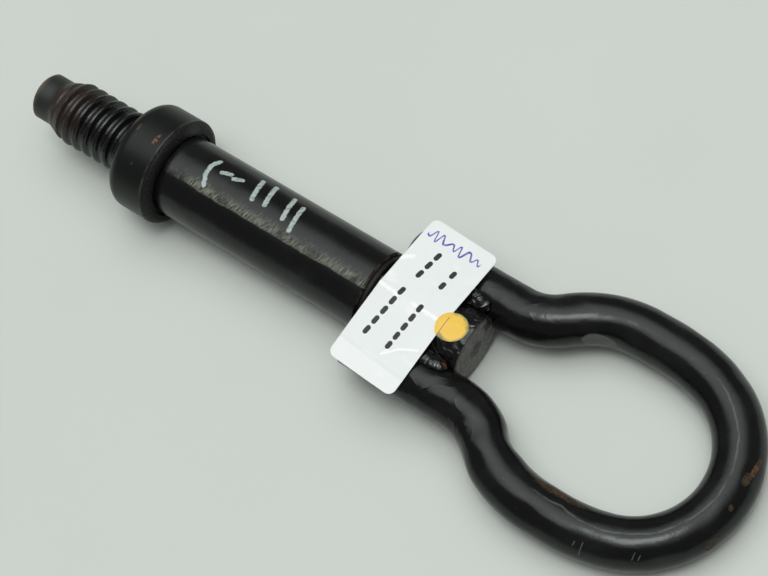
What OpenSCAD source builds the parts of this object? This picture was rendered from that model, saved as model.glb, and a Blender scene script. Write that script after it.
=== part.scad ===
// Screw-in tow eye for a car: a threaded stud with a collar and a sleeve,
// and a bent bar eye welded beside the end of the stud.
// It lies as it comes to rest, on the edge of the collar and the far end of the loop.
// The shank runs along X towards the loop. Sizes are in millimetres.

/* [Thread and pilot] */
// outside diameter of the rounded left-hand thread
thread_d = 20; // [19:0.5:21]
// advance of the thread in one turn
thread_pitch = 4; // [3:0.5:5]
// depth from crest to root
thread_depth = 1.6; // [1:0.1:2]
// softness of the profile, low for flat crests and roots
thread_softness = 0.5; // [0.2:0.05:2]
// start of the groove round the shank, in turns
groove_start = 0.806; // [0:0.002:1]
// diameter of the plain pilot at the tip
pilot_d = 15; // [13:0.5:16]
// length of the plain pilot
pilot_len = 6.6; // [4:0.2:9]
// length over which the thread grows out of the pilot
run_in_len = 6.2; // [4:0.2:8]
// bevel round the tip
tip_bevel = 0.8; // [0.3:0.1:1.5]

/* [Collar] */
// distance from the tip to the seating face of the collar
seat_x = 38; // [30:0.5:45]
// outside diameter of the collar
collar_d = 34.4; // [30:0.2:40]
// thickness of the collar along the shank
collar_len = 16.2; // [12:0.2:20]
// rounding of the seating edge
collar_front_r = 4.4; // [2:0.1:5]
// rounding of the edge beside the sleeve
collar_rear_r = 2.4; // [1:0.1:3]
// depth of the turned recess round the sleeve
recess_depth = 0.8; // [0.3:0.1:1.5]
// width of that recess
recess_w = 1; // [0.5:0.1:1.5]

/* [Stud and sleeve] */
// diameter of the stud behind the thread
stud_d = 21; // [20:0.5:22]
// length over which the stud lies between the legs
lap_len = 32; // [25:0.5:40]
// outside diameter of the sleeve
sleeve_d = 25.6; // [24:0.2:28]
// length of the sleeve behind the collar
sleeve_len = 73.6; // [60:0.2:90]
// bevel of the sleeve's open end
sleeve_bevel = 0.5; // [0.2:0.1:1]
// diameter of the centre mark in the sawn end
centre_mark_d = 3.2; // [1:0.2:5]
// depth of the centre mark
centre_mark_depth = 1; // [0.4:0.1:2]

/* [Eye] */
// diameter of the bar
bar_d = 15.2; // [13:0.2:16]
// distance from the sleeve to the cut ends of the legs
leg_gap = 1.4; // [0.8:0.1:3]
// distance of a leg's centre line from the shank's
leg_y = 16.15; // [15.5:0.05:18]
// straight length of a leg past the sawn end of the stud
neck_len = 4.45; // [1:0.05:10]
// radius of the outward bend
flare_r = 18.7; // [14:0.5:24]
// turn of the outward bend
flare_angle = 41.3; // [30:1:50]
// radius of the shoulder of the loop
shoulder_r = 34.2; // [28:0.5:40]
// straight length of the side of the loop
side_len = 5.8; // [2:0.2:10]
// radius of the long bend that closes in
flank_r = 52.7; // [40:0.5:60]
// turn of that long bend
flank_angle = 17.4; // [10:1:25]
// bevel of the cut ends of the legs
leg_bevel = 0.8; // [0.5:0.1:2]

/* [Welds] */
// radius of a weld bead between stud and leg
weld_r = 3.6; // [2.5:0.1:3.7]
// height of the ripples along a bead
weld_ripple = 0.35; // [0.1:0.05:0.6]
// distance from one ripple to the next
weld_step = 3.1; // [2:0.1:5]
// distance of each bead's ends from the ends of the stretch it joins
weld_set_back = 1.4; // [0.5:0.1:3]
// distance of a bead's middle outwards from where stud and leg meet
weld_out = 1.6; // [1:0.1:2]
// distance of a bead's middle above that place
weld_up = 0.9; // [0.5:0.1:1.4]
// height of the weld round the stud at the sleeve's open end
ring_weld_h = 2; // [1:0.1:2.2]
// radius of that weld's face
ring_weld_r = 1.4; // [1.2:0.1:1.8]

/* [Sticker and paint dot] */
// thickness of the sticker
sticker_t = 0.2; // [0.1:0.05:0.4]
// width of the sticker along the shank
sticker_w = 23; // [15:0.5:26]
// length of the sticker across the legs, seen from above
sticker_l = 50; // [46:0.5:54]
// corner radius of the sticker
sticker_corner = 2.4; // [1:0.2:4]
// distance from the cut ends of the legs to the middle of the sticker
sticker_from_ends = 12.2; // [10:0.2:15]
// sideways place of the sticker
sticker_y = -0.5; // [-2:0.1:2]
// turn of the sticker on the shank
sticker_turn = 3.2; // [0:0.2:5]
// slope at which the sticker reaches from the stud out over the left leg
left_sheet_angle = 4.5; // [2:0.5:10]
// slope at which it reaches out over the right leg
right_sheet_angle = 8.5; // [2:0.5:10]
// diameter of the paint dot
dot_d = 9.8; // [6:0.2:12]
// thickness of the paint dot
dot_t = 0.15; // [0.1:0.05:0.3]
// distance from the sawn end of the stud to the middle of the dot
dot_from_end = 5.8; // [5:0.2:8]
// sideways place of the dot
dot_y = -1.3; // [-3:0.1:3]

/* [Fits] */
// gap all round between the stud and what is pressed on it
press_gap = 0.02; // [0.01:0.01:0.1]
// gap between a weld bead and the metal it joins
weld_gap = 0.02; // [0.01:0.01:0.05]
// gap under the sticker and the dot
film_gap = 0.02; // [0.01:0.01:0.05]
// hair by which every second stretch of the bar is thinner
bar_step = 0.02; // [0.01:0.01:0.05]
// length by which that stretch reaches into its neighbours
bar_lap = 0.4; // [0.2:0.1:0.6]

/* [Hidden] */
$fn = 96;
thread_r = thread_d / 2;
pilot_r = pilot_d / 2;
root_r = thread_r - thread_depth;
collar_r = collar_d / 2;
collar_rear_x = seat_x + collar_len;
stud_r = stud_d / 2;
sleeve_r = sleeve_d / 2;
bar_r = bar_d / 2;
sleeve_start_x = collar_rear_x - recess_depth + press_gap;
sleeve_end_x = collar_rear_x + sleeve_len;
leg_start_x = sleeve_end_x + leg_gap;
stud_len = leg_start_x + lap_len;
bend_x = stud_len + neck_len;
sticker_x = leg_start_x + sticker_from_ends;
dot_x = stud_len - dot_from_end;

// loop centre line, worked out from its bends
shoulder_x = bend_x + (flare_r + shoulder_r) * sin(flare_angle);
shoulder_y = leg_y + (flare_r + shoulder_r) * (1 - cos(flare_angle));
flank_x = shoulder_x + side_len;
crown_x = flank_x + flank_r * sin(flank_angle);
crown_y = shoulder_y - flank_r * (1 - cos(flank_angle));
crown_r = crown_y / cos(flank_angle);
crown_centre_x = crown_x - crown_r * sin(flank_angle);
apex_x = crown_centre_x + crown_r;

// rest pose: the floor touches the rounded rear edge of the collar and the bar at the apex
touch_x = collar_rear_x - collar_rear_r;
touch_z = collar_r - collar_rear_r;
rest_span = sqrt(pow(apex_x - touch_x, 2) + pow(touch_z, 2));
rest_tilt = atan(touch_z / (apex_x - touch_x)) - asin((bar_r - collar_rear_r) / rest_span);
rest_lift = touch_z * cos(rest_tilt) + touch_x * sin(rest_tilt) + collar_rear_r;
box_min_x = -(pilot_r - tip_bevel) * sin(rest_tilt);
box_max_x = apex_x * cos(rest_tilt) + bar_r;
box_mid_x = (box_min_x + box_max_x) / 2;

// thread surface: it starts a hair inside the pilot and ends inside the collar
turn_steps = 40;
thread_steps = 72;
pilot_step = 0.05;
thread_lap = 0.6;
thread_start_x = pilot_len;
thread_end_x = seat_x + thread_lap;

// weld beads: points round a bead, rings along it and its size at the tips
bead_points = 18;
bead_steps = 36;
bead_tip = 0.35;
valley_y = (leg_y * leg_y + stud_r * stud_r - bar_r * bar_r) / (2 * leg_y);
valley_z = sqrt(stud_r * stud_r - valley_y * valley_y);

// how far a cutting shape reaches past what it cuts, the size of one that covers the shank,
// and the radius of a cone's point
past = 3;
cover = 40;
point_r = 0.01;

// sticker section: neither half slopes more than the line that touches stud and leg
touch_angle = asin((stud_r - bar_r) / leg_y);
sheet_steps = 6;

module resting() {
    translate([-box_mid_x, 0, rest_lift])
        rotate([0, rest_tilt, 0])
            children();
}

module along_x() {
    rotate([0, 90, 0])
        children();
}

// height of the thread profile between root and crest, for a phase in turns: rounded, with broad crests
function swell(u) = let (
        c = cos(360 * u)
    ) 0.5 + 0.5 * c * sqrt((1 + thread_softness) / (c * c + thread_softness));
function thread_wall(x, a) = let (
        full = root_r + thread_depth * swell(x / thread_pitch + a / 360 + groove_start),
        core_r = pilot_r - pilot_step,
        cone = core_r + (thread_r - core_r) * (x - thread_start_x) / run_in_len
    ) max(min(full, cone), core_r);

// closed skin over m + 1 rings of n points, with a centre point for each end
module skin(rings, ends, n, m) {
    first = (m + 1) * n;
    walls = [for (i = [0:m - 1]) for (j = [0:n - 1]) let (k = (j + 1) % n)
        for (t = [[i * n + j, (i + 1) * n + j, (i + 1) * n + k], [i * n + j, (i + 1) * n + k, i * n + k]]) t];
    near = [for (j = [0:n - 1]) [first, j, (j + 1) % n]];
    far = [for (j = [0:n - 1]) [first + 1, m * n + (j + 1) % n, m * n + j]];
    polyhedron(points = concat(rings, ends), faces = concat(walls, near, far));
}

module thread_body() {
    n = turn_steps;
    m = thread_steps;
    rings = [for (i = [0:m]) let (x = thread_start_x + (thread_end_x - thread_start_x) * i / m)
        for (j = [0:n - 1]) let (a = 360 * j / n, r = thread_wall(x, a)) [x, r * cos(a), r * sin(a)]];
    skin(rings, [[thread_start_x, 0, 0], [thread_end_x, 0, 0]], n, m);
}

// straight round bar along X from x0 to x1
module rod(r, x0, x1) {
    translate([x0, 0, 0])
        along_x()
            cylinder(r = r, h = x1 - x0);
}

module leg_seat(side, gap) {
    translate([0, side * leg_y, 0])
        rod(bar_r + gap, leg_start_x - gap, stud_len + past);
}

module stud() {
    color([0.07, 0.07, 0.075])
        resting()
            difference() {
                union() {
                    along_x()
                        cylinder(r1 = pilot_r - tip_bevel, r2 = pilot_r, h = tip_bevel);
                    rod(pilot_r, tip_bevel, pilot_len);
                    thread_body();
                    rod(stud_r, thread_end_x, stud_len);
                }
                for (side = [-1, 1])
                    leg_seat(side, weld_gap);
                translate([stud_len - centre_mark_depth, 0, 0])
                    along_x()
                        cylinder(r1 = point_r, r2 = centre_mark_d / 2, h = centre_mark_depth);
            }
}

// half section of the collar, radius along X and the shank along Y
module collar_section() {
    difference() {
        union() {
            square([collar_r - collar_front_r, collar_len]);
            translate([0, collar_front_r])
                square([collar_r, collar_len - collar_front_r - collar_rear_r]);
            translate([collar_r - collar_front_r, collar_front_r])
                circle(r = collar_front_r);
            translate([0, collar_len - collar_rear_r])
                square([collar_r - collar_rear_r, collar_rear_r]);
            translate([collar_r - collar_rear_r, collar_len - collar_rear_r])
                circle(r = collar_rear_r);
        }
        translate([-collar_r, -past])
            square([collar_r + stud_r + press_gap, collar_len + 2 * past]);
        translate([0, collar_len - recess_depth])
            square([sleeve_r + recess_w, recess_depth + past]);
    }
}

module collar() {
    color([0.1, 0.1, 0.105])
        resting()
            translate([seat_x, 0, 0])
                along_x()
                    rotate_extrude()
                        collar_section();
}

module sleeve() {
    color([0.07, 0.07, 0.075])
        resting()
            difference() {
                union() {
                    rod(sleeve_r, sleeve_start_x, sleeve_end_x - sleeve_bevel);
                    translate([sleeve_end_x - sleeve_bevel, 0, 0])
                        along_x()
                            cylinder(r1 = sleeve_r, r2 = sleeve_r - sleeve_bevel, h = sleeve_bevel);
                }
                rod(stud_r + press_gap, sleeve_start_x - past, sleeve_end_x + past);
            }
}

// part of a ring of bar: centre of the bend, its radius, first angle and turn
module bend(x, y, r, from, turn) {
    translate([x, y, 0])
        rotate([0, 0, from])
            rotate_extrude(angle = turn)
                translate([r, 0])
                    circle(r = bar_r);
}

// the same a hair thinner, and longer at both ends so that it seats in its neighbours
module seated_bend(x, y, r, from, turn) {
    more = bar_lap / r * 180 / PI;
    translate([x, y, 0])
        rotate([0, 0, from - more])
            rotate_extrude(angle = turn + 2 * more)
                translate([r, 0])
                    circle(r = bar_r - bar_step);
}

module half_eye() {
    translate([leg_start_x, leg_y, 0])
        along_x()
            cylinder(r1 = bar_r - leg_bevel, r2 = bar_r, h = leg_bevel);
    translate([0, leg_y, 0])
        rod(bar_r, leg_start_x + leg_bevel, bend_x);
    seated_bend(bend_x, leg_y + flare_r, flare_r, -90, flare_angle);
    bend(shoulder_x, shoulder_y - shoulder_r, shoulder_r, 90, flare_angle);
    translate([0, shoulder_y, 0])
        rod(bar_r - bar_step, shoulder_x - bar_lap, flank_x + bar_lap);
    bend(flank_x, shoulder_y - flank_r, flank_r, 90 - flank_angle, flank_angle);
}

module eye() {
    color([0.06, 0.06, 0.065])
        resting() {
            half_eye();
            mirror([0, 1, 0])
                half_eye();
            seated_bend(crown_centre_x, 0, crown_r, flank_angle - 90, 180 - 2 * flank_angle);
        }
}

module sleeve_weld() {
    gap_len = leg_start_x - sleeve_end_x - 2 * weld_gap;
    color([0.08, 0.07, 0.065])
        resting()
            translate([sleeve_end_x + weld_gap, 0, 0])
                along_x()
                    rotate_extrude()
                        translate([stud_r + weld_gap, 0])
                            intersection() {
                                square([ring_weld_h, gap_len]);
                                translate([0, gap_len / 2])
                                    circle(r = ring_weld_r);
                            }
}

// lumpy bead along X, thin at both ends
module bead(x0, x1, y, z, seed) {
    n = bead_points;
    m = bead_steps;
    rings = [for (i = [0:m]) let (
            s = i / m,
            x = x0 + (x1 - x0) * s,
            taper = bead_tip + (1 - bead_tip) * sqrt(max(0, 1 - pow(2 * s - 1, 6))),
            wave = weld_ripple * (abs(sin(180 * (x - x0) / weld_step + seed)) - 1),
            r = (weld_r + wave) * taper
        ) for (j = [0:n - 1]) let (a = 360 * j / n) [x, y + r * cos(a), z + r * sin(a)]];
    skin(rings, [[x0, y, z], [x1, y, z]], n, m);
}

module weld(side, up, seed) {
    color([0.05, 0.05, 0.055])
        resting()
            difference() {
                bead(leg_start_x + weld_set_back, stud_len - weld_set_back, side * (valley_y + weld_out),
                    up * (valley_z + weld_up), seed);
                rod(stud_r + weld_gap, leg_start_x - past, stud_len + past);
                leg_seat(side, weld_gap);
            }
}

module weld_left_top() {
    weld(1, 1, 20);
}

module weld_right_top() {
    weld(-1, 1, 75);
}

module weld_left_under() {
    weld(1, -1, 130);
}

module weld_right_under() {
    weld(-1, -1, 165);
}

// half of a line that leaves the stud at a slope, at a given height above it, as [y, z] points
function over_line(h, wanted) = let (
        slope = min(wanted, touch_angle),
        r = stud_r + h,
        reach = sticker_l / 2 + abs(sticker_y) + past - r * sin(slope)
    ) concat(
        [for (k = [0:sheet_steps]) let (a = slope * k / sheet_steps) r * [sin(a), cos(a)]],
        [r * [sin(slope), cos(slope)] + reach * [1, -tan(slope)]]);
function mirrored(p) = [for (k = [len(p) - 1:-1:1]) [-p[k][0], p[k][1]]];
function whole_line(h) = concat(
        mirrored(over_line(h, right_sheet_angle)),
        over_line(h, left_sheet_angle));
function turned_back(p) = [for (k = [len(p) - 1:-1:0]) p[k]];

// sheet over stud and legs, between two heights above the metal
module sheet(h0, h1, x0, x1) {
    translate([x0, 0, 0])
        rotate([90, 0, 90])
            linear_extrude(height = x1 - x0)
                polygon(concat(whole_line(h1), turned_back(whole_line(h0))));
}

module sticker_outline() {
    w = sticker_w / 2 - sticker_corner;
    l = sticker_l / 2 - sticker_corner;
    square([sticker_w, 2 * l], center = true);
    square([2 * w, sticker_l], center = true);
    for (sx = [-1, 1])
        for (sy = [-1, 1])
            translate([sx * w, sy * l])
                circle(r = sticker_corner);
}

module sticker() {
    color([0.93, 0.94, 0.94])
        resting()
            intersection() {
                sheet(film_gap, film_gap + sticker_t, sticker_x - sticker_w, sticker_x + sticker_w);
                translate([sticker_x, sticker_y, 0])
                    rotate([0, 0, -sticker_turn])
                        linear_extrude(height = cover)
                            sticker_outline();
            }
}

// half space from a line parallel to the loop side of the sticker, towards the loop or away from it
module beyond_sticker(shift, towards) {
    translate([sticker_x, sticker_y, 0])
        rotate([0, 0, -sticker_turn])
            translate([sticker_w / 2 + shift - (towards > 0 ? 0 : cover), -cover / 2, 0])
                cube(cover);
}

module dot_column() {
    translate([dot_x, dot_y, 0])
        cylinder(r = dot_d / 2, h = cover);
}

module paint_dot() {
    over = 2 * film_gap + sticker_t;
    color([0.95, 0.75, 0.2])
        resting()
            intersection() {
                dot_column();
                union() {
                    intersection() {
                        sheet(over, over + dot_t, dot_x - dot_d, dot_x + dot_d);
                        beyond_sticker(film_gap + dot_t, -1);
                    }
                    intersection() {
                        difference() {
                            rod(stud_r + film_gap + dot_t, dot_x - dot_d, dot_x + dot_d);
                            rod(stud_r + film_gap, dot_x - dot_d - past, dot_x + dot_d + past);
                        }
                        beyond_sticker(film_gap, 1);
                    }
                    intersection() {
                        difference() {
                            sheet(-past, over + dot_t, dot_x - dot_d, dot_x + dot_d);
                            rod(stud_r + film_gap, dot_x - dot_d - past, dot_x + dot_d + past);
                        }
                        beyond_sticker(film_gap, 1);
                        beyond_sticker(film_gap + dot_t, -1);
                    }
                }
            }
}

stud();
collar();
sleeve();
eye();
sleeve_weld();
weld_left_top();
weld_right_top();
weld_left_under();
weld_right_under();
sticker();
paint_dot();
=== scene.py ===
"""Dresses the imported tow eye: camera, floor, lamps, worn black paint, bar, thread, sticker and dot."""

import math

import bpy
from mathutils import Matrix, Vector, kdtree, noise


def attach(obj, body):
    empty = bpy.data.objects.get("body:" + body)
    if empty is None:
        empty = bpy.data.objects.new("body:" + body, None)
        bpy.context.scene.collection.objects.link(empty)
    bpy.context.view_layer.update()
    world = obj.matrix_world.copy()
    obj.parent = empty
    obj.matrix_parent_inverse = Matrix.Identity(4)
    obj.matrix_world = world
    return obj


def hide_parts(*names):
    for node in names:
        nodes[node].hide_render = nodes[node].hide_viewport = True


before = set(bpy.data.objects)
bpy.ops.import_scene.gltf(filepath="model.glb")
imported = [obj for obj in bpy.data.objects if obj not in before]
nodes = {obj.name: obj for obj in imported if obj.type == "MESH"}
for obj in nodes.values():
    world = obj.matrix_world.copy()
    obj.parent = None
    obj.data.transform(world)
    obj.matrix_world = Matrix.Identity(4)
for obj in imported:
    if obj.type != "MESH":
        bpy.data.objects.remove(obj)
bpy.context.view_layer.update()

# Sizes in millimetres, with places along the shank measured from its tip
MM = 0.001
TILT = math.radians(2.8893)
LIFT = 19.792
MIDDLE = 124.418
PILOT_R = 7.5
PILOT_LEN = 6.6
TIP_BEVEL = 0.8
THREAD_R = 10.0
THREAD_PITCH = 4.0
THREAD_DEPTH = 1.6
THREAD_SOFTNESS = 0.5
GROOVE_START = 0.806
RUN_IN = 6.2
SEAT_X = 38.0
STUD_R = 10.5
STUD_END = 161.2
SAWN_BEVEL = 0.25
SAWN_BEVEL_LEN = 0.4
CENTRE_MARK_R = 1.6
CENTRE_MARK_DEPTH = 1.0
COLLAR_END = 54.2
SLEEVE_R = 12.8
SLEEVE_END = 127.8
BAR_R = 7.6
LEG_START = 129.2
LEG_Y = 16.15
LEG_BEVEL = 0.8
WELD_GAP = 0.02
BEND_X = 165.65
STICKER_X, STICKER_Y, STICKER_TURN = 141.4, -0.5, math.radians(-3.2)
STICKER_W, STICKER_L = 23.0, 50.0
DOT_X, DOT_Y, DOT_R = 155.4, -1.3, 4.9
SHANK = (
    Matrix.Translation((-MIDDLE * MM, 0, LIFT * MM))
    @ Matrix.Rotation(TILT, 4, "Y")
    @ Matrix.Diagonal((MM, MM, MM, 1))
)


# Shader values

class Wire:
    """A value in a material: arithmetic on it adds Math nodes."""

    def __init__(self, finish, socket):
        self.finish, self.socket = finish, socket

    def output(self, key):
        return Wire(self.finish, self.socket.node.outputs[key])

    def math(self, operation, *values):
        return self.finish.math(operation, self, *values)

    def __add__(self, other):
        return self.math("ADD", other)

    def __radd__(self, other):
        return self.finish.math("ADD", other, self)

    def __sub__(self, other):
        return self.math("SUBTRACT", other)

    def __rsub__(self, other):
        return self.finish.math("SUBTRACT", other, self)

    def __mul__(self, other):
        return self.math("MULTIPLY", other)

    def __rmul__(self, other):
        return self.finish.math("MULTIPLY", other, self)

    def __truediv__(self, other):
        return self.math("DIVIDE", other)

    def __pow__(self, other):
        return self.math("POWER", other)

    def __abs__(self):
        return self.math("ABSOLUTE")

    def or_more(self, other):
        return self.math("MAXIMUM", other)

    def or_less(self, other):
        return self.math("MINIMUM", other)

    def rise(self, low, high):
        """0 below low, 1 above high and smooth between; it falls where high is below low."""
        return self.finish.add(
            "ShaderNodeMapRange",
            {"interpolation_type": "SMOOTHSTEP"},
            {"Value": self, "From Min": low, "From Max": high},
        )


class Finish:
    """A material in the making, in the shank's own millimetres."""

    def __init__(self, name, light=None):
        self.material = light or bpy.data.materials.new(name)
        self.material.use_nodes = True
        self.tree = self.material.node_tree
        self.tree.nodes.clear()
        if light:
            return
        here = self.add("ShaderNodeTexCoord", out="Object")
        self.place = self.add(
            "ShaderNodeMapping",
            {},
            {
                "Vector": here,
                "Scale": (1 / MM, 1 / MM, 1 / MM),
                "Rotation": (0, -TILT, 0),
                "Location": (
                    MIDDLE * math.cos(TILT) + LIFT * math.sin(TILT),
                    0,
                    MIDDLE * math.sin(TILT) - LIFT * math.cos(TILT),
                ),
            },
        )
        parts = self.add("ShaderNodeSeparateXYZ", {}, {0: self.place})
        self.x, self.y, self.z = parts, parts.output(1), parts.output(2)

    def add(self, kind, settings=None, inputs=None, out=0):
        """Adds a node of a type, with its settings first and then the values or links of its sockets."""
        node = self.tree.nodes.new(kind)
        for key, value in (settings or {}).items():
            setattr(node, key, value)
        for key, value in (inputs or {}).items():
            if isinstance(value, Wire):
                self.tree.links.new(value.socket, node.inputs[key])
            else:
                node.inputs[key].default_value = value
        return Wire(self, node.outputs[out])

    def math(self, operation, *values):
        return self.add("ShaderNodeMath", {"operation": operation}, dict(enumerate(values)))

    def vector(self, operation, *values, out=0):
        return self.add("ShaderNodeVectorMath", {"operation": operation}, dict(enumerate(values)), out)

    def length(self, vector):
        return self.vector("LENGTH", vector, out="Value")

    def joined(self, x, y, z):
        return self.add("ShaderNodeCombineXYZ", {}, {0: x, 1: y, 2: z})

    def grain(self, size, detail=2.0, roughness=0.5, at=None, distortion=0.0):
        """Noise from 0 to 1 whose lumps are about size millimetres."""
        return self.add(
            "ShaderNodeTexNoise",
            {},
            {
                "Vector": at or self.place,
                "Scale": 1 / size,
                "Detail": detail,
                "Roughness": roughness,
                "Distortion": distortion,
            },
        )

    def wander(self, size, width, detail=2.0, roughness=0.5):
        """The same noise round 0, over that width in all."""
        return (self.grain(size, detail, roughness) - 0.5) * width

    def stretched(self, x, y, z, at=None):
        """The place divided by a size in each direction, for grain that is longer one way."""
        return self.vector("DIVIDE", at or self.place, (x, y, z))

    def blob(self, centre, sizes, ragged=0.3, grain_size=1.5, soft=0.25):
        """Mask of a ragged patch round a place on the shank."""
        away = self.vector("DIVIDE", self.vector("SUBTRACT", self.place, centre), sizes)
        far = self.length(away) + self.wander(grain_size, 2 * ragged, 3.0, 0.6)
        return far.rise(1.0, 1.0 - soft)

    def mix(self, mask, first, second):
        """Colour first where the mask is 0 and second where it is 1."""
        colours = [c if isinstance(c, Wire) else (*c, 1) for c in (first, second)]
        return self.add(
            "ShaderNodeMix", {"data_type": "RGBA"}, {0: mask, 6: colours[0], 7: colours[1]}, 2
        )

    def blend(self, mask, first, second):
        """Number first where the mask is 0 and second where it is 1."""
        return mask * second + (1 - mask) * first

    def bump(self, height, strength=1.0, depth=0.1, under=None):
        """Normal of a relief of that depth in millimetres."""
        inputs = {"Height": height, "Strength": strength, "Distance": depth * MM}
        if under:
            inputs["Normal"] = under
        return self.add("ShaderNodeBump", {}, inputs)

    def stroke(self, flat, lines, half_width, ragged=0.0, soft=0.3):
        """Mask of straight pen lines on a flat vector, each from one point to another."""
        near = None
        for (ax, ay), (bx, by) in lines:
            dx, dy = bx - ax, by - ay
            size = dx * dx + dy * dy
            away = self.vector("SUBTRACT", flat, (ax, ay, 0))
            along = self.vector("DOT_PRODUCT", away, (dx / size, dy / size, 0), out="Value")
            along = along.or_more(0).or_less(1)
            far = self.length(self.vector("SUBTRACT", away, self.joined(along * dx, along * dy, 0)))
            near = near.or_less(far) if near else far
        if ragged:
            near = near + self.wander(0.7, 2 * ragged, 3.0)
        return near.rise(half_width, half_width * (1 - soft))

    def surface(self, colour, roughness, normal=None, **constants):
        """The finished material, with further sockets of its shader named with underscores."""
        inputs = {"Base Color": colour, "Roughness": roughness}
        if normal:
            inputs["Normal"] = normal
        inputs.update({name.replace("_", " "): value for name, value in constants.items()})
        shader = self.add("ShaderNodeBsdfPrincipled", {}, inputs)
        self.add_output(shader, "ShaderNodeOutputMaterial")
        return self.material

    def add_output(self, shader, kind):
        end = self.tree.nodes.new(kind)
        self.tree.links.new(shader.socket, end.inputs["Surface"])


# Tones of the paint, its wear and the bare metal

BLACK_PAINT = (0.0044, 0.0045, 0.0043)
GREY_HAZE = (0.0090, 0.0096, 0.0090)
PAINT_CAST = (0.92, 1.0, 0.97, 1)
RUST = (0.135, 0.064, 0.026)
DULL_RUST = (0.062, 0.038, 0.021)
DARK_RUST = (0.020, 0.012, 0.007)
COPPER_CHIP = (0.19, 0.098, 0.060)
RED_CHIP = (0.13, 0.020, 0.014)
# light tone of dust and scuffs, which the eye also uses for a painted highlight line
SCUFF_AND_HIGHLIGHT = (0.105, 0.115, 0.095)
# light tone of the sleeve's scuffed streaks, with their glints painted in
SCUFF_GLINT = (0.20, 0.21, 0.16)
CHIPPED_RIM = (0.050, 0.034, 0.022)
BROWN_PATCH = (0.018, 0.014, 0.011)
# painted highlight along the collar's rear edge
EDGE_HIGHLIGHT = (0.055, 0.058, 0.052)
BRONZE = (0.072, 0.052, 0.031)
STEEL_SMEAR = (0.060, 0.056, 0.050)
STEEL_ARC = (0.42, 0.42, 0.38)
STEEL_PIT = (0.022, 0.020, 0.018)
STEEL_SWIRL = (0.014, 0.013, 0.012)
STEEL_BORDER = (0.020, 0.018, 0.016)

# Pairs of tones with a grain or a slope between them
# painted reflection of the floor on the eye's pressed spot, darker below and lighter above
PRESSED_SPOT_REFLECTION = (0.085, 0.09, 0.083), (0.13, 0.135, 0.125)
SEAM_TONES = (0.0025, 0.0025, 0.0025), (0.012, 0.009, 0.007)
SATIN_TONES = (0.0045, 0.0050, 0.0046), (0.0085, 0.0092, 0.0082)
# dark rough tones of the collar's rear face, which also stand in for painted shade there
ROUGH_SHADED_TONES = (0.002, 0.002, 0.002), (0.009, 0.008, 0.007)
THREAD_TONES = (0.040, 0.024, 0.018), (0.014, 0.011, 0.010)
PILOT_TONES = (0.010, 0.012, 0.012), (0.019, 0.020, 0.018)
STEEL_TONES = (0.11, 0.106, 0.096), (0.26, 0.255, 0.235)
FLOOR_TONES = (0.60, 0.645, 0.60), (0.625, 0.67, 0.625)

# Tones of the sticker, the pens and the dot
SHEET_TONES = (0.77, 0.82, 0.80), (0.83, 0.88, 0.86)
SHEET_GLINT = (0.95, 0.98, 0.965)
# painted shade at the sticker's edges
SHEET_EDGE_SHADE = (0.55, 0.57, 0.55)
DASH_BLACK = (0.012, 0.012, 0.014)
BLUE_PEN = (0.060, 0.045, 0.42)
WHITE_PEN = (0.42, 0.50, 0.47)
DOT_TONES = (0.84, 0.50, 0.030), (0.90, 0.60, 0.070)
DOT_THIN = (0.20, 0.22, 0.08)
DOT_RAGGED = (0.012, 0.014, 0.009)
DOT_SHADE = (0.16, 0.075, 0.02)

# Chips in the paint: a place, its sizes and its tone
EYE_CHIPS = [
    ((205.0, -24.0, 5.2), (9.5, 1.5, 2.6), DULL_RUST),
    ((205.9, -23.7, 5.0), (2.6, 1.2, 1.6), RUST),
    ((245.5, 9.6, 5.4), (0.9, 5.4, 1.5), RUST),
    ((244.9, 5.4, 6.0), (1.5, 2.6, 1.6), DULL_RUST),
    ((245.6, -3.3, 6.0), (1.0, 1.1, 1.2), DULL_RUST),
    ((246.2, -14.0, 2.6), (1.6, 3.6, 2.2), DULL_RUST),
    ((187.0, -17.4, 2.0), (2.2, 1.2, 2.0), DARK_RUST),
    ((168.0, -23.0, 5.0), (2.0, 1.0, 1.0), DULL_RUST),
]
WELD_CHIPS = [
    ((159.2, -10.4, 7.0), (2.0, 0.6, 0.8), RED_CHIP),
]
COLLAR_CHIPS = [
    ((49.4, 0.4, 17.2), (0.9, 2.3, 1.2), COPPER_CHIP),
    ((42.1, 1.0, 17.2), (0.5, 1.5, 1.2), COPPER_CHIP),
    ((46.5, -9.0, 14.6), (0.4, 0.5, 0.5), DULL_RUST),
]


# Finishes of the painted metal

def through(*points):
    """The lines that join points one after the other."""
    return list(zip(points, points[1:]))


def folds(f, size, where, depth, under=None):
    """Normal of sharp folds and soft lumps, as paint has that has run over a weld."""
    ridges = (1 - abs(f.grain(size, 1.0, 0.4, distortion=1.0) - 0.5) * 2) ** 4
    lumps = f.grain(size * 0.8, 1.0, 0.4)
    return f.bump((lumps + ridges * 0.35) * where, 1.0, depth, under)


def paint_coat(f, gloss=0.17, dents=0.38):
    """Colour, roughness and normal of black paint over a bar: haze, orange peel, soft dents and dust."""
    haze = f.grain(16, 3.0, 0.6).rise(0.42, 0.72)
    colour = f.mix(haze, BLACK_PAINT, GREY_HAZE)
    dust = f.grain(0.45, 1.0).rise(0.74, 0.80) * f.grain(7, 2.0).rise(0.5, 0.7)
    colour = f.mix(dust * 0.5, colour, SCUFF_AND_HIGHLIGHT)
    roughness = gloss + haze * 0.07 + f.grain(0.7, 3.0, 0.6) * 0.05 + dust * 0.3
    soft = f.bump(f.grain(9.5, 1.0, 0.4), 1.0, dents)
    mid = f.bump(f.grain(3.2, 2.0, 0.5), 1.0, 0.05, soft)
    return colour, roughness, f.bump(f.grain(0.9, 2.0, 0.5), 1.0, 0.028, mid)


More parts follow.
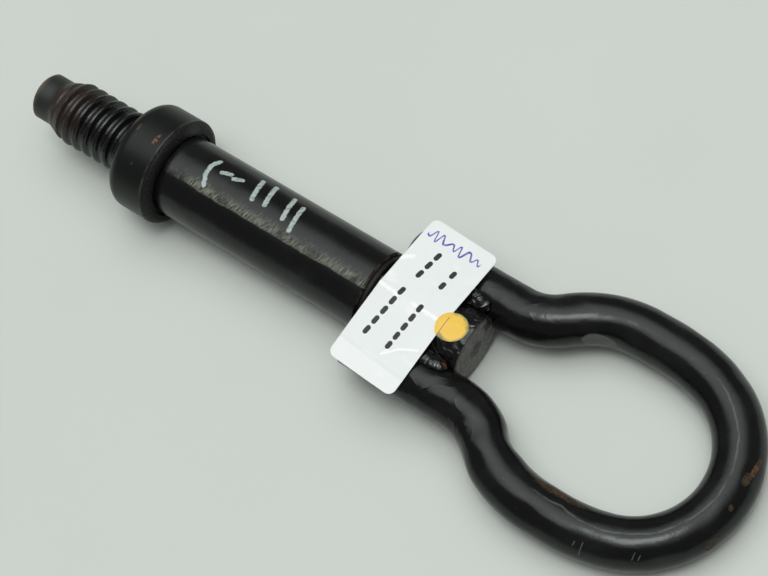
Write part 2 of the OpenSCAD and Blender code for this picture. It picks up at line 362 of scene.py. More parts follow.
def chipped(f, colour, roughness, chips):
    """Adds ragged chips to a colour and a roughness."""
    for centre, sizes, tone in chips:
        chip = f.blob(centre, sizes, ragged=0.5, grain_size=1.3, soft=0.4)
        mottled = f.mix(f.grain(0.8, 3.0, 0.6).rise(0.38, 0.62), tone, DARK_RUST)
        colour = f.mix(chip, colour, mottled)
        roughness = f.blend(chip, roughness, 0.62)
    return colour, roughness


# Centre and radius of the thin painted highlight line along the top of the loop
HIGHLIGHT_LINE_X, HIGHLIGHT_LINE_R = 213.6, 27.7

# Scratches on the loop's side, from one place along the shank and upwards to another
EYE_SCRATCHES = [
    ((218.6, 3.0), (218.4, 6.2)), ((216.2, 5.2), (216.3, 5.9)),
    ((231.4, 5.0), (231.3, 6.2)), ((232.8, 4.9), (232.8, 5.8)),
]


def painted_highlight_line(f):
    """Mask of the painted highlight line, which fades where the bar leaves the loop."""
    far = f.length(f.joined((f.x - HIGHLIGHT_LINE_X).or_more(-5), f.y, 0)) + f.wander(6, 1.2)
    line = abs(far - HIGHLIGHT_LINE_R).rise(0.42, 0.08) * f.z.rise(5.5, 6.5) * f.x.rise(198, 202)
    line = line * (f.y - f.x * 0.5 + 90).rise(6, 0).or_more(f.x.rise(226, 229))
    return line * f.grain(4, 2.0).rise(0.25, 0.6) * 0.75


def wear_and_highlight_line(f):
    """Mask of what is light on the eye: a painted highlight line along the loop's top, and worn
    scratches, flecks, nicks and a rubbed side.
    """
    side = f.joined(f.x, f.z, 0)
    scratches = f.stroke(side, EYE_SCRATCHES, half_width=0.2, ragged=0.16, soft=0.7) * f.y.rise(-24, -26)
    flecks = f.grain(0.55, 2.0, 0.6).rise(0.68, 0.78) * f.grain(11, 2.0).rise(0.45, 0.62)
    nicks = f.grain(1.0, 2.0, 0.6, at=f.stretched(2.6, 0.5, 0.5)).rise(0.70, 0.78)
    nicks = nicks * f.grain(14, 2.0).rise(0.5, 0.62)
    rubbed = f.grain(1.0, 3.0, 0.7, at=f.stretched(1.5, 0.6, 0.9)).rise(0.60, 0.70)
    rubbed = rubbed * f.y.rise(-29, -31) * f.z.rise(3.5, 0) * f.z.rise(-3, -1)
    marks = painted_highlight_line(f).or_more(scratches).or_more(flecks * 0.45).or_more(nicks * 0.6)
    return marks.or_more(rubbed * 0.5)


def eye_black():
    f = Finish("eye_black")
    colour, roughness, normal = paint_coat(f)
    colour, roughness = chipped(f, colour, roughness, EYE_CHIPS)
    # a pressed spot on the inside of one arm, with a painted reflection of the floor that is lighter
    # upwards
    pressed_spot_reflection = f.blob((190.6, 19.4, 1.4), (8.4, 2.8, 3.4), ragged=0.12, grain_size=3.0, soft=0.16)
    colour = f.mix(pressed_spot_reflection * 0.8, colour, f.mix(f.z.rise(1.0, 3.8), *PRESSED_SPOT_REFLECTION))
    wear_and_highlight = wear_and_highlight_line(f)
    # light tone of real wear, and of a painted highlight along the loop's top
    colour = f.mix(wear_and_highlight * 0.8, colour, SCUFF_AND_HIGHLIGHT)
    roughness = f.blend(wear_and_highlight, roughness, 0.4)
    normal = folds(f, 9.0, f.x.rise(190, 166), 0.26, normal)
    return f.surface(colour, roughness, normal, Specular_Tint=PAINT_CAST, Specular_IOR_Level=0.33)


# Pen strokes on the sleeve, from one place along the shank and round it to another
SLEEVE_STROKES = through((68.4, -2.8), (66.8, 0.4), (66.4, 3.6), (67.4, 6.6)) + [
    ((70.6, 3.4), (73.2, 4.4)), ((74.8, 3.5), (77.2, 4.6)), ((81.8, 8.8), (83.6, 0.8)),
    ((86.2, 9.4), (88.0, 1.2)), ((93.4, 9.0), (95.2, 0.4)), ((97.6, 7.4), (99.0, -1.6)),
]


def sleeve_black():
    f = Finish("sleeve_black")
    colour, roughness, normal = paint_coat(f, 0.2, 0.2)
    round_it = f.math("ARCTAN2", f.y, f.z) * SLEEVE_R
    flat = f.joined(f.x, round_it, 0)
    slant = f.joined(f.x - round_it * 0.35, round_it, 0)
    # fine scuffed streaks across the sleeve, lit up as painted glints, which stop along a line below its
    # highlight
    beside = round_it + f.wander(9, 1.6)
    band = beside.rise(-5.3, -4.9) * beside.rise(-0.4, -4.4)
    streaks = f.grain(1.0, 3.0, 0.7, at=f.stretched(0.40, 2.4, 1.0, at=slant)).rise(0.40, 0.62)
    patches = f.grain(5.5, 2.0, 0.6).rise(0.25, 0.55) * f.x.rise(54, 60)
    scuff_and_glint = band * streaks * patches
    colour = f.mix(scuff_and_glint, colour, SCUFF_GLINT)
    roughness = f.blend(scuff_and_glint, roughness, 0.45)
    # plain pen strokes, thin in places
    strokes = f.stroke(flat, SLEEVE_STROKES, half_width=0.82, ragged=0.4, soft=0.3)
    thin = f.grain(1.0, 3.0, 0.6, at=f.stretched(0.7, 1.8, 1.0, at=slant)).rise(0.28, 0.55)
    pen = strokes * (0.35 + thin * 0.65)
    colour = f.mix(pen, colour, WHITE_PEN)
    roughness = f.blend(pen, roughness, 0.5)
    # chipped rim at the end by the legs
    rim = f.x.rise(SLEEVE_END - 0.6, SLEEVE_END - 0.35) * f.grain(2.2, 3.0).rise(0.42, 0.6)
    colour = f.mix(rim * 0.7, colour, CHIPPED_RIM)
    roughness = f.blend(rim, roughness, 0.5)
    return f.surface(colour, roughness, normal, Specular_Tint=PAINT_CAST, Specular_IOR_Level=0.34)


def weld_black():
    f = Finish("weld_black")
    haze = f.grain(5, 2.0).rise(0.45, 0.7)
    colour = f.mix(haze, BLACK_PAINT, GREY_HAZE)
    colour, roughness = chipped(f, colour, 0.10 + haze * 0.08, WELD_CHIPS)
    fine = f.bump(f.grain(1.6, 1.0), 1.0, 0.06)
    return f.surface(colour, roughness, folds(f, 5.0, 1, 0.7, fine), Specular_Tint=PAINT_CAST)


def seam_black():
    f = Finish("seam_black")
    colour = f.mix(f.grain(1.4, 3.0, 0.6), *SEAM_TONES)
    normal = f.bump(f.grain(0.9, 3.0), 1.0, 0.2)
    return f.surface(colour, 0.5 + f.grain(1.0, 2.0) * 0.15, normal, Specular_IOR_Level=0.3)


def satin_black():
    f = Finish("collar_satin")
    dull = f.grain(9, 3.0, 0.6)
    colour = f.mix(dull, *SATIN_TONES)
    # a lighter brown patch at the top of the rear
    brown_patch = f.blob((53.6, 11.0, 11.4), (2.8, 5.4, 5.4), ragged=0.2, grain_size=4.0, soft=0.9)
    colour = f.mix(brown_patch * 0.7, colour, BROWN_PATCH)
    # a rough rear face, darkened as painted shade, with a painted highlight line along its edge
    rough_and_shaded = (f.x + f.wander(2.0, 0.6, 3.0)).rise(COLLAR_END - 2.2, COLLAR_END - 1.7) * (1 - brown_patch)
    colour = f.mix(rough_and_shaded, colour, f.mix(f.grain(0.9, 3.0), *ROUGH_SHADED_TONES))
    # painted highlight line just before the rear face
    painted_edge_shading = f.x.rise(COLLAR_END - 2.9, COLLAR_END - 2.4) * f.x.rise(COLLAR_END - 2.0, COLLAR_END - 2.3)
    painted_edge_shading = painted_edge_shading * f.grain(3.0, 3.0).rise(0.3, 0.6) * f.z.rise(-2, 4)
    colour = f.mix(painted_edge_shading * 0.8, colour, EDGE_HIGHLIGHT)
    roughness = f.blend(rough_and_shaded, 0.33 + dull * 0.08, 0.55)
    colour, roughness = chipped(f, colour, roughness, COLLAR_CHIPS)
    worn = f.bump(f.grain(0.8, 3.0) * rough_and_shaded, 1.0, 0.5)
    turned = f.grain(0.35, 2.0, 0.6, at=f.stretched(0.35, 9, 9))
    normal = f.bump(turned, 0.6, 0.02, worn)
    return f.surface(colour, roughness, normal, Specular_Tint=PAINT_CAST, Specular_IOR_Level=0.25)


def sawn_steel(f, far):
    """Colour and relief of the stud's sawn end, and the mask of the paint that is splashed on it."""
    polar = f.joined(far * 2.2 + f.math("ARCTAN2", f.z, f.y) * 0.8, 0, 0)
    rings = f.grain(0.9, 2.0, 0.6, at=polar)
    lines = f.grain(1.0, 2.0, 0.6, at=f.stretched(1, 0.35, 5))
    steel = f.mix(f.grain(1.1, 4.0, 0.7).rise(0.3, 0.7), *STEEL_TONES)
    steel = f.mix(f.grain(4.5, 3.0).rise(0.5, 0.75) * 0.6, steel, STEEL_SMEAR)
    steel = f.mix(rings.rise(0.48, 0.66) * 0.6, steel, STEEL_ARC)
    pits = f.grain(0.7, 3.0, 0.7).rise(0.52, 0.64)
    steel = f.mix(pits * 0.65, steel, STEEL_PIT)
    swirl = (far + f.wander(2.2, 2.4)).rise(3.4, 1.9)
    steel = f.mix(swirl * rings.rise(0.62, 0.40), steel, STEEL_SWIRL)
    border = (far + f.wander(1.5, 1.0)).rise(9.4, 10.0)
    steel = f.mix(border * 0.7, steel, STEEL_BORDER)
    splash = f.blob((STUD_END, 7.6, 4.2), (1.0, 3.0, 3.4), ragged=0.6, grain_size=1.4)
    return f.mix(splash, steel, BLACK_PAINT), rings + lines, splash


def stud_finish():
    f = Finish("stud_black_and_rust")
    far = f.length(f.joined(0, f.y, f.z))
    # bare and brown at the first turns, painted further on
    worn = (f.x + f.wander(4.5, 12, 3.0)).rise(24, 11) * f.x.rise(4.6, 7.4)
    colour = f.mix(worn, BLACK_PAINT, f.mix(f.grain(1.3, 3.0, 0.6), *THREAD_TONES))
    pilot = f.x.rise(7.2, 6.2)
    colour = f.mix(pilot, colour, f.mix(f.grain(4, 3.0), *PILOT_TONES))
    bronze = f.x.rise(2.2, 0.9) * f.grain(2.2, 3.0).rise(0.2, 0.5)
    colour = f.mix(bronze, colour, BRONZE)
    roots = far.rise(9.2, 8.5) * f.x.rise(8, 11) * f.x.rise(24, 17)
    colour = f.mix(roots * f.grain(1.6, 3.0).rise(0.35, 0.65), colour, DARK_RUST)
    sawn = f.x.rise(STUD_END - 0.3, STUD_END - 0.1)
    steel, cut, splash = sawn_steel(f, far)
    colour = f.mix(sawn, colour, steel)
    gloss = f.blend(worn, 0.14 + f.grain(0.8, 3.0) * 0.1, 0.42)
    gloss = f.blend(pilot, gloss, 0.5)
    gloss = f.blend(sawn * (1 - splash), gloss, 0.62)
    threads = f.x.rise(7, 9) * f.x.rise(SEAT_X, SEAT_X - 1)
    relief = f.grain(0.8, 3.0) * (0.25 + worn + threads * 0.5) + cut * sawn * 1.2
    big = folds(f, 5.0, f.x.rise(125, 130) * (1 - sawn), 0.9)
    return f.surface(colour, gloss, f.bump(relief, 0.9, 0.13, big), Specular_Tint=PAINT_CAST)


# Finishes of the sticker and the dot: u goes along the shank and w across it, from the sheet's middle

# Rows of dashes: u at the middle, lean, length of a dash, and where its dashes start
DASH_ROWS = [
    (-4.6, 0.105, 1.3, (-14.1, -10.5, -6.9, -3.3, 0.3, 7.5, 11.1, 14.7)),
    (3.1, 0.08, 1.1, (-14.1, -10.8, -7.5, -4.2, -0.9, 8.3, 12.7)),
]
BROAD_GLINTS = [((-11.3, -0.3), (-5.2, -0.5)), ((0.8, -0.4), (9.8, -0.2)), ((-11.3, 9.4), (-8.8, 11.6))]
NARROW_GLINTS = through((2.6, -14.9), (1.6, -16.9), (5.2, -13.0), (9.8, -10.4))
SQUIGGLE_W = 20.4
EDGE_SHADE_WIDTH = 0.15


def on_sheet(f):
    """The place on the sticker as u and w."""
    c, s = math.cos(STICKER_TURN), math.sin(STICKER_TURN)
    x, y = f.x - STICKER_X, f.y - STICKER_Y
    return x * c + y * s, y * c - x * s


def dashes():
    """The lines of the leaning rows."""
    return [
        ((u + lean * w, w), (u + lean * (w + length), w + length))
        for u, lean, length, starts in DASH_ROWS
        for w in starts
    ]


def squiggle(f, u, w):
    """Mask of a plain squiggle of blue pen."""
    swing = 1.15 + f.math("SINE", u * 0.7) * 0.45
    beat = u * 2.1 + f.math("SINE", u * 0.9) * 0.8
    lean = f.math("COSINE", beat) * swing * 2.1
    off = abs(w - SQUIGGLE_W - f.math("SINE", beat) * swing) / f.math("SQRT", lean * lean + 1)
    return off.rise(0.34, 0.18) * abs(u + 0.8).rise(9.4, 9.1) * (0.6 + f.grain(1.5, 2.0) * 0.6).or_less(1)


def glints(f, flat, u, w):
    """Mask of the light on the sheet's creases, on its lower fold and on its soft waves."""
    broad = f.stroke(flat, BROAD_GLINTS, half_width=1.0, ragged=0.9, soft=0.8)
    narrow = f.stroke(flat, NARROW_GLINTS, half_width=0.42, ragged=0.25, soft=0.5)
    fold = (w + u * 0.03).rise(-19.3, -20.0) * 0.3
    sheen = f.grain(7, 2.0, 0.5, at=f.stretched(1.6, 0.8, 1, at=flat)).rise(0.55, 0.72) * 0.5
    return broad.or_more(narrow).or_more(fold).or_more(sheen)


def sticker_finish():
    f = Finish("white_sticker")
    u, w = on_sheet(f)
    flat = f.joined(u, w, 0)
    tone = f.mix(f.grain(14, 2.0), *SHEET_TONES)
    tone = f.mix(glints(f, flat, u, w), tone, SHEET_GLINT)
    dark = f.stroke(flat, dashes(), half_width=0.82, ragged=0.05, soft=0.15)
    tone = f.mix(dark, tone, DASH_BLACK)
    tone = f.mix(squiggle(f, u, w), tone, BLUE_PEN)
    # painted shade along the sheet's edges
    inside = (abs(u) - STICKER_W / 2).or_more(abs(w) - STICKER_L / 2)
    painted_edge_shading = inside.rise(-2 * EDGE_SHADE_WIDTH, 0)
    tone = f.mix(painted_edge_shading * 0.35, tone, SHEET_EDGE_SHADE)
    gloss = 0.17 + f.grain(6, 2.0) * 0.08 + dark * 0.1
    return f.surface(tone, gloss, f.bump(f.grain(2.2, 2.0), 0.6, 0.04), Specular_IOR_Level=0.3)


def dot_finish():
    f = Finish("yellow_dot")
    away = f.length(f.joined(f.x - DOT_X, f.y - DOT_Y, 0))
    u, w = on_sheet(f)
    colour = f.mix(f.grain(2.2, 3.0), *DOT_TONES)
    # thin and then ragged towards its edge on the metal, with a shaded line along the sheet's edge
    on_metal = u.rise(STICKER_W / 2 - 0.1, STICKER_W / 2 + 0.4)
    uneven = away + f.wander(2.6, 2.6, 3.0) - (f.y - DOT_Y) * 0.14
    colour = f.mix(uneven.rise(3.4, 4.4) * on_metal * 0.85, colour, DOT_THIN)
    colour = f.mix(uneven.rise(4.3, 5.2) * on_metal * 0.9, colour, DOT_RAGGED)
    line = abs(u - (STICKER_W / 2 + 0.1)).rise(0.17, 0.06) * w.rise(2.6, 1.9)
    colour = f.mix(line * 0.8, colour, DOT_SHADE)
    return f.surface(colour, 0.34 + f.grain(1.0, 2.0) * 0.12, f.bump(f.grain(1.4, 2.0), 0.8, 0.12))


# Mesh work

def clear_selection():
    if bpy.context.mode != "OBJECT":
        bpy.ops.object.mode_set(mode="OBJECT")
    bpy.ops.object.select_all(action="DESELECT")


def edit(piece):
    """Alone in edit mode, with all of it selected."""
    clear_selection()
    piece.select_set(True)
    bpy.context.view_layer.objects.active = piece
    bpy.ops.object.mode_set(mode="EDIT")
    bpy.ops.mesh.select_all(action="SELECT")


def start(name):
    """The primitive that was just added, under its name and with its place in its mesh."""
    piece = bpy.context.object
    piece.name = piece.data.name = name
    bpy.ops.object.transform_apply(location=True, rotation=True, scale=True)
    return piece


def extrude(step):
    bpy.ops.mesh.extrude_region_move(TRANSFORM_OT_translate={"value": step})


def close_up(piece, smooth_below=40):
    """Merges doubles, turns the faces outwards and smooths what isn't an edge."""
    edit(piece)
    bpy.ops.mesh.remove_doubles(threshold=1e-4)
    bpy.ops.mesh.normals_make_consistent(inside=False)
    bpy.ops.object.mode_set(mode="OBJECT")
    bpy.ops.object.shade_smooth_by_angle(angle=math.radians(smooth_below))


def hand_over(piece, slot, material, *stands_for):
    """Puts a piece made in the shank's millimetres in its place and gives it its finish."""
    clear_selection()
    piece.data.transform(SHANK)
    piece.data.materials.clear()
    piece.data.materials.append(material)
    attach(piece, "root")
    if stands_for:
        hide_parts(*stands_for)
    return piece


def repaint(node, material):
    mesh = nodes[node].data
    mesh.materials.clear()
    mesh.materials.append(material)


# The bent bar: a ring of the bar's section swept through the bends

RING = 64
STEP = 1.5
SPINE_STEP = 0.3
HAIR = 0.01
BAR_START = Vector((LEG_START + LEG_BEVEL, LEG_Y, 0))
LEG_LEN = BEND_X - LEG_START - LEG_BEVEL
FLARE_R, FLARE = 18.7, 41.3
SHOULDER_R, SIDE_LEN = 34.2, 5.8
FLANK_R, FLANK = 52.7, 17.4


def drift(turn):
    """How far an arc of radius 1 moves sideways over a turn in degrees."""
    return 1 - math.cos(math.radians(turn))


# Each stretch is a length without a turn, or a radius and a turn in degrees
SIDE_Y = LEG_Y + (FLARE_R + SHOULDER_R) * drift(FLARE)
CROWN_R = (SIDE_Y - FLANK_R * drift(FLANK)) / math.cos(math.radians(FLANK))
CROWN = (CROWN_R, 2 * FLANK - 180)
ARM = [(LEG_LEN, 0), (FLARE_R, FLARE), (SHOULDER_R, -FLARE), (SIDE_LEN, 0), (FLANK_R, -FLANK)]


def centre_line(step):
    """Fine points along the bar's centre line, from one leg round the loop's crown."""
    here, heading = BAR_START, 0.0
    points = [here]
    for size, turn in [*ARM, CROWN]:
        length = size if turn == 0 else size * math.radians(abs(turn))
        count = max(1, round(length / step))
        for _ in range(count):
            heading += math.radians(turn) / count / 2
            here = here + Vector((math.cos(heading), math.sin(heading), 0)) * (length / count)
            heading += math.radians(turn) / count / 2
            points.append(here)
    tree = kdtree.KDTree(len(points))
    for k, point in enumerate(points):
        tree.insert(point, k)
    tree.balance()
    return tree


# Places where the bar is pressed in, with the radius and the depth of the mark
DENTS = [
    ((174.0, -30.5, 1.0), 7.5, 0.75), ((186.0, -16.2, 1.0), 6.5, 0.80), ((181.0, -29.5, 6.5), 5.0, 0.35),
    ((176.5, -21.0, 8.0), 4.5, 0.30), ((170.0, -13.5, 6.5), 4.0, 0.35), ((192.5, 19.5, 1.5), 7.0, 0.70),
    ((172.5, 9.5, 4.5), 5.0, 0.45), ((178.0, 24.5, 8.0), 5.0, 0.35), ((212.5, 40.0, 2.5), 6.0, 0.40),
    ((228.0, 30.5, 4.0), 6.0, 0.35), ((246.5, 7.5, 5.0), 5.0, 0.35), ((240.0, -25.0, 3.0), 6.0, 0.35),
    ((199.5, -35.0, 5.5), 6.0, 0.30), ((216.0, -23.5, 6.0), 5.5, 0.25),
]

# Slight waviness of the bar: depth and length of its waves
BAR_WAVES = [(0.10, 9.0), (0.04, 3.0)]


def dented(p, spine):
    """A point of the bar moved inwards by the dents and by the waviness."""
    beside = spine.find((p.x, abs(p.y), 0))[0]
    out = (p - Vector((beside.x, math.copysign(beside.y, p.y), 0))).normalized()
    deep = sum(depth * (0.5 + 0.5 * noise.noise(p / size)) for depth, size in BAR_WAVES)
    for centre, radius, depth in DENTS:
        near = 1 - (p - Vector(centre)).length_squared / (radius * radius)
        if near > 0:
            deep += depth * near * near
    return p - out * deep


def close_leg(bar, side):
    """Bevels and closes the cut end of the leg on one side, in edit mode."""
    bpy.ops.mesh.select_all(action="DESELECT")
    bpy.ops.object.mode_set(mode="OBJECT")
    for v in bar.data.vertices:
        v.select = abs(v.co.x - BAR_START.x) < HAIR and v.co.y * side > 0
    bpy.ops.object.mode_set(mode="EDIT")
    extrude((-LEG_BEVEL, 0, 0))
    small = (BAR_R - LEG_BEVEL) / BAR_R
    bpy.ops.transform.resize(value=(1, small, small), center_override=(LEG_START, side * LEG_Y, 0))
    bpy.ops.mesh.edge_face_add()


def bent_bar():
    clear_selection()
    here, heading = BAR_START, 0.0
    bpy.ops.mesh.primitive_circle_add(
        vertices=RING, radius=BAR_R, fill_type="NOTHING", location=here, rotation=(0, math.pi / 2, 0)
    )
    bar = start("bent_bar")
    edit(bar)
    for size, turn in [*ARM, CROWN, *reversed(ARM)]:
        ahead = Vector((math.cos(heading), math.sin(heading), 0))
        if turn == 0:
            count = round(size / STEP)
            for _ in range(count):
                extrude(ahead * (size / count))
            here = here + ahead * size
        else:
            centre = here + Vector((-ahead.y, ahead.x, 0)) * size * math.copysign(1, turn)
            angle = math.radians(turn)
            steps = round(size * abs(angle) / STEP)
            bpy.ops.mesh.spin(steps=steps, angle=-angle, center=centre, axis=(0, 0, 1))
            here = centre + Matrix.Rotation(angle, 3, "Z") @ (here - centre)
            heading += angle
    for side in (1, -1):
        close_leg(bar, side)
    bpy.ops.object.mode_set(mode="OBJECT")
    spine = centre_line(SPINE_STEP)
    for v in bar.data.vertices:
        v.co = dented(v.co, spine)
    close_up(bar)
    return bar


# The stud: pilot, coarse thread, plain shank and sawn end

STUD_RING = 120
# The thread ends inside the collar and rises to the shank, which has finer rings from the legs on
THREAD_END = SEAT_X + 0.5
THREAD_RISE = 0.1
LAP_START = LEG_START - 3
CUT_PAST_END = 2

# From the tip on: distance, radius there and steps up to it
STATIONS = [
    (TIP_BEVEL, PILOT_R, 1),
    (PILOT_LEN, PILOT_R, 4),
    (THREAD_END, PILOT_R, 170),
    (THREAD_END + THREAD_RISE, STUD_R, 1),
    (LAP_START, STUD_R, 4),
    (STUD_END - SAWN_BEVEL_LEN, STUD_R, 24),
    (STUD_END, STUD_R - SAWN_BEVEL, 1),
]


def thread_radius(x, angle):
    """Radius of the rounded thread, which grows out of the pilot along a cone."""
    c = math.cos(2 * math.pi * (x / THREAD_PITCH + angle / (2 * math.pi) + GROOVE_START))
    swell = 0.5 + 0.5 * c * math.sqrt((1 + THREAD_SOFTNESS) / (c * c + THREAD_SOFTNESS))
    full = THREAD_R - THREAD_DEPTH * (1 - swell)
    cone = PILOT_R + (THREAD_R - PILOT_R) * (x - PILOT_LEN) / RUN_IN
    return max(min(full, cone), PILOT_R)


def threaded_stud():
    clear_selection()
    x, radius = 0.0, PILOT_R - TIP_BEVEL
    bpy.ops.mesh.primitive_circle_add(
        vertices=STUD_RING, radius=radius, fill_type="NGON", rotation=(0, -math.pi / 2, 0)
    )
    stud = start("threaded_stud")
    edit(stud)
    for next_x, next_radius, steps in STATIONS:
        for _ in range(steps):
            extrude(((next_x - x) / steps, 0, 0))
        if next_radius != radius:
            scale = next_radius / radius
            bpy.ops.transform.resize(value=(1, scale, scale), center_override=(0, 0, 0))
        x, radius = next_x, next_radius
    bpy.ops.mesh.inset(thickness=radius - CENTRE_MARK_R, depth=0)
    bpy.ops.mesh.inset(thickness=CENTRE_MARK_R * 0.9, depth=-CENTRE_MARK_DEPTH)
    bpy.ops.object.mode_set(mode="OBJECT")
    wind_thread(stud)
    close_up(stud, smooth_below=35)
    for side in (1, -1):
        cut_seat(stud, side)
    close_up(stud, smooth_below=35)
    return stud


def wind_thread(stud):
    """Moves the rings between the pilot and the shank onto the thread."""
    for v in stud.data.vertices:
        x, y, z = v.co
        if PILOT_LEN < x < THREAD_END + THREAD_RISE / 2:
            angle = math.atan2(z, y)
            r = thread_radius(x, angle)
            v.co = (x, r * math.cos(angle), r * math.sin(angle))


def cut_seat(stud, side):
    """Cuts the round seat that one leg lies in."""
    clear_selection()
    start_x, end_x = LEG_START - WELD_GAP, STUD_END + CUT_PAST_END
    bpy.ops.mesh.primitive_cylinder_add(
        vertices=2 * RING, radius=BAR_R + WELD_GAP, depth=end_x - start_x,
        location=((start_x + end_x) / 2, side * LEG_Y, 0), rotation=(0, math.pi / 2, 0)
    )
    leg = start("leg_for_seat")
    clear_selection()
    bpy.context.view_layer.objects.active = stud
    cut = stud.modifiers.new("leg seat", "BOOLEAN")
    cut.operation, cut.solver, cut.object = "DIFFERENCE", "EXACT", leg
    bpy.ops.object.modifier_apply(modifier=cut.name)
    bpy.data.objects.remove(leg)


# The sticker and the paint dot: fine sheets that follow the metal

# Height of the top face above the metal, and thickness
SHEET_TOP, SHEET_THICKNESS = 0.17, 0.12
DOT_TOP, DOT_THICKNESS = 0.14, 0.06
SHEET_CORNER, SHEET_GRID, DOT_GRID = 2.4, 0.25, 0.2

# Side towards which the dot is shorter, by how much, and how long it slopes down off the sticker
SHORT_SIDE, SHORTER, SLOPE_LEN = Vector((0.5, -0.87, 0)), 0.22, 0.5
LEFT_SLOPE, RIGHT_SLOPE = math.radians(4.5), math.radians(8.5)

# Creases and folds: from one place on the sheet to another, height and half width
CREASES = [
    ((-11.4, -0.2), (-5.2, -0.4), 0.14, 0.7), ((0.8, -0.3), (9.6, -0.1), 0.14, 0.8),
    ((2.0, -15.2), (10.6, -9.6), 0.12, 0.6), ((-11.6, -19.0), (11.6, -19.6), -0.10, 0.5),
    ((-11.3, 9.2), (-8.6, 11.6), 0.14, 0.9), ((9.6, 8.0), (11.3, 12.5), 0.12, 0.8),
]

# Waves of the sheet: height, length along the shank and across it, and layer of the noise
SHEET_WAVES = [(0.09, 7, 6, 3.0), (0.03, 2.2, 2.0, 9.0)]


def segment_distance(p, a, b):
    """How far a flat point is from the line between two others."""
    along = max(0.0, min(1.0, (p - a).dot(b - a) / (b - a).length_squared))
    return (p - a - (b - a) * along).length


def over_metal(y, h):
    """Height above the shank's line of a sheet that leaves the stud's crown to both sides, h above it."""
    a, r = abs(y), STUD_R + h
    slope = LEFT_SLOPE if y > 0 else RIGHT_SLOPE
    if a < r * math.sin(slope):
        return math.sqrt(r * r - a * a)
    return r * math.cos(slope) - (a - r * math.sin(slope)) * math.tan(slope)


def ruffle(u, w):
    """Creases and waviness of the sheet."""
    height = sum(
        tall * noise.noise(Vector((u / du, w / dw, layer)))
        for tall, du, dw, layer in SHEET_WAVES
    )
    place = Vector((u, w))
    for a, b, tall, half in CREASES:
        far = segment_distance(place, Vector(a), Vector(b)) / half
        height += tall * math.exp(-far * far)
    return height


def rounded_sheet(name, width, length, corner, step):
    """Flat fine sheet whose corners are rounded by pulling in its points."""
    clear_selection()
    bpy.ops.mesh.primitive_grid_add(
        x_subdivisions=round(width / step), y_subdivisions=round(length / step), size=1
    )
    sheet = start(name)
    edit(sheet)
    bpy.ops.transform.resize(value=(width, length, 1))
    bpy.ops.object.mode_set(mode="OBJECT")
    for v in sheet.data.vertices:
        u, w = abs(v.co.x) - (width / 2 - corner), abs(v.co.y) - (length / 2 - corner)
        if u > 0 and w > 0:
            pull = max(u, w) / math.hypot(u, w)
            v.co.x -= math.copysign(u * (1 - pull), v.co.x)
            v.co.y -= math.copysign(w * (1 - pull), v.co.y)
    return sheet


def thicken(sheet, thickness):
    """Gives a sheet its thickness below the face that it has, and closes it up."""
    bpy.context.view_layer.objects.active = sheet
    solid = sheet.modifiers.new("thickness", "SOLIDIFY")
    solid.thickness = thickness
    solid.offset = -1
    bpy.ops.object.modifier_apply(modifier=solid.name)
    close_up(sheet, smooth_below=60)


def sticker():
    sheet = rounded_sheet("sticker_sheet", STICKER_W, STICKER_L, SHEET_CORNER, SHEET_GRID)
    turn = Matrix.Rotation(STICKER_TURN, 3, "Z")
    for v in sheet.data.vertices:
        p = turn @ v.co + Vector((STICKER_X, STICKER_Y, 0))
        p.z = over_metal(p.y, SHEET_TOP) + ruffle(v.co.x, v.co.y)
        v.co = p
    thicken(sheet, SHEET_THICKNESS)
    return sheet


def paint_dot():
    sheet = rounded_sheet("dot_of_paint", 2 * DOT_R, 2 * DOT_R, DOT_R, DOT_GRID)
    turn = Matrix.Rotation(STICKER_TURN, 3, "Z").inverted()
    for v in sheet.data.vertices:
        dip = abs(noise.noise(v.co.normalized() * 1.7 + Vector((0, 0, 4.0))))
        uneven = 1 - 0.05 * dip * v.co.length / DOT_R
        lower = max(0.0, v.co.dot(SHORT_SIDE))
        p = v.co * uneven - SHORT_SIDE * lower * SHORTER + Vector((DOT_X, DOT_Y, 0))
        on = turn @ (p - Vector((STICKER_X, STICKER_Y, 0)))
        on_sticker = 1 - min(1, max(0, (on.x - STICKER_W / 2) / SLOPE_LEN + 0.2))
        p.z = over_metal(p.y, DOT_TOP) + on_sticker * (SHEET_TOP + ruffle(on.x, on.y))
        v.co = p
    thicken(sheet, DOT_THICKNESS)
    return sheet


# The weld beads: the CAD solids with an even skin and softer ripples

WELD_BEADS = ("weld_left_top", "weld_right_top", "weld_left_under", "weld_right_under")
WELD_SKIN = 0.35


def soften(node):
    skin = nodes[node].modifiers.new("even skin", "REMESH")
    skin.mode, skin.voxel_size, skin.use_smooth_shade = "VOXEL", WELD_SKIN * MM, True
    ripples = nodes[node].modifiers.new("softened ripples", "SMOOTH")
    ripples.factor, ripples.iterations = 0.6, 10


hand_over(bent_bar(), "eye_finish", eye_black(), "eye")
hand_over(threaded_stud(), "stud_finish", stud_finish(), "stud")
hand_over(sticker(), "sticker_white", sticker_finish(), "sticker")
hand_over(paint_dot(), "dot_yellow", dot_finish(), "paint_dot")
repaint("sleeve", sleeve_black())
repaint("collar", satin_black())
repaint("sleeve_weld", seam_black())
weld_paint = weld_black()
for bead in WELD_BEADS:
    repaint(bead, weld_paint)
    soften(bead)


# Floor, light and camera, in metres

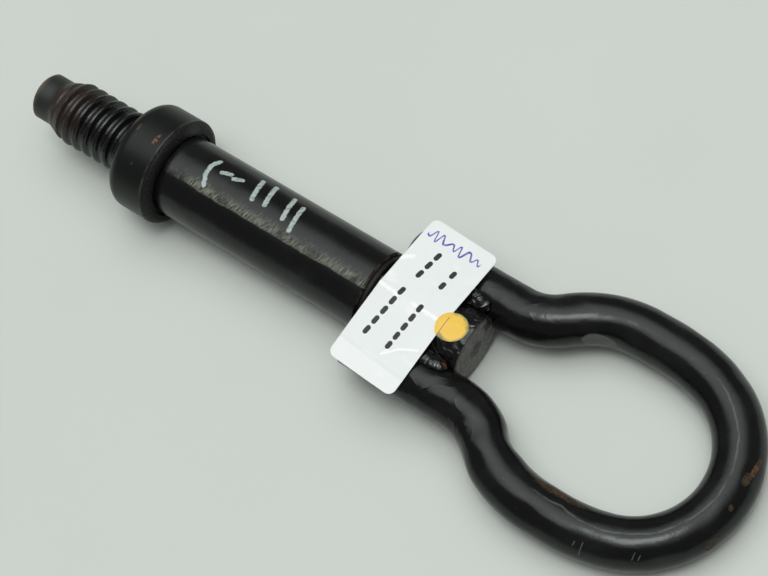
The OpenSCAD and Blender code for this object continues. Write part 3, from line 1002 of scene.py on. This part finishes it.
FLOOR_SIZE = 6
ROOM_LIGHT = 0.15
LAMP_HEIGHT = 2.0
BROAD_PLACE, BROAD_SIZE, BROAD_LEVEL = (-0.25, 0.62, LAMP_HEIGHT), (4.3, 3.24), 2.4
BROAD_CENTRE, BROAD_FULL, BROAD_DARK = (-0.25, 0.05, LAMP_HEIGHT), 0.25, 2.3
BRIGHT_PLACE, BRIGHT_SIZE, BRIGHT_LEVEL = (0.26, -0.16, 1.8), (0.6, 0.6), 7.5
CAMERA_PLACE = (0.22294, -0.14143, 0.50198)
CAMERA_TURN = (26.1662, 10.9288, 35.7667)
SENSOR_WIDTH, LENS = 36, 90.562


def floor_finish():
    f = Finish("floor_pale")
    tone = f.mix(f.grain(60, 2.0), *FLOOR_TONES)
    return f.surface(tone, 0.75 + f.grain(30, 2.0) * 0.05)


def lamp(name, shape, place, size, radiance):
    """A soft lamp above the object that faces straight down."""
    light = bpy.data.lights.new(name, "AREA")
    light.shape = shape
    light.size, light.size_y = size
    area = size[0] * size[1] * (math.pi / 4 if shape == "ELLIPSE" else 1)
    light.energy = radiance * math.pi * area
    piece = bpy.data.objects.new(name, light)
    bpy.context.scene.collection.objects.link(piece)
    piece.location = place
    return light


def faded(light, centre, full, dark):
    """Lets a lamp fade with the distance from its centre, from full to dark."""
    f = Finish(light.name, light)
    here = f.add("ShaderNodeNewGeometry")
    level = f.length(f.vector("SUBTRACT", here, centre)).rise(dark, full)
    f.add_output(f.add("ShaderNodeEmission", {}, {"Strength": level}), "ShaderNodeOutputLight")


clear_selection()
bpy.ops.mesh.primitive_plane_add(size=FLOOR_SIZE)
floor = bpy.context.object
floor.name = "floor"
floor.data.materials.append(floor_finish())

world = bpy.data.worlds.new("room")
world.use_nodes = True
room = world.node_tree.nodes["Background"].inputs
room["Color"].default_value = (1, 1, 1, 1)
room["Strength"].default_value = ROOM_LIGHT
bpy.context.scene.world = world

broad = lamp("broad", "RECTANGLE", BROAD_PLACE, BROAD_SIZE, BROAD_LEVEL)
faded(broad, BROAD_CENTRE, BROAD_FULL, BROAD_DARK)
lamp("bright", "ELLIPSE", BRIGHT_PLACE, BRIGHT_SIZE, BRIGHT_LEVEL)

camera = bpy.data.cameras.new("camera")
camera.sensor_width = SENSOR_WIDTH
camera.lens = LENS
view = bpy.data.objects.new("camera", camera)
bpy.context.scene.collection.objects.link(view)
view.location = CAMERA_PLACE
view.rotation_euler = [math.radians(angle) for angle in CAMERA_TURN]
bpy.context.scene.camera = view
bpy.context.scene.view_settings.view_transform = "Standard"
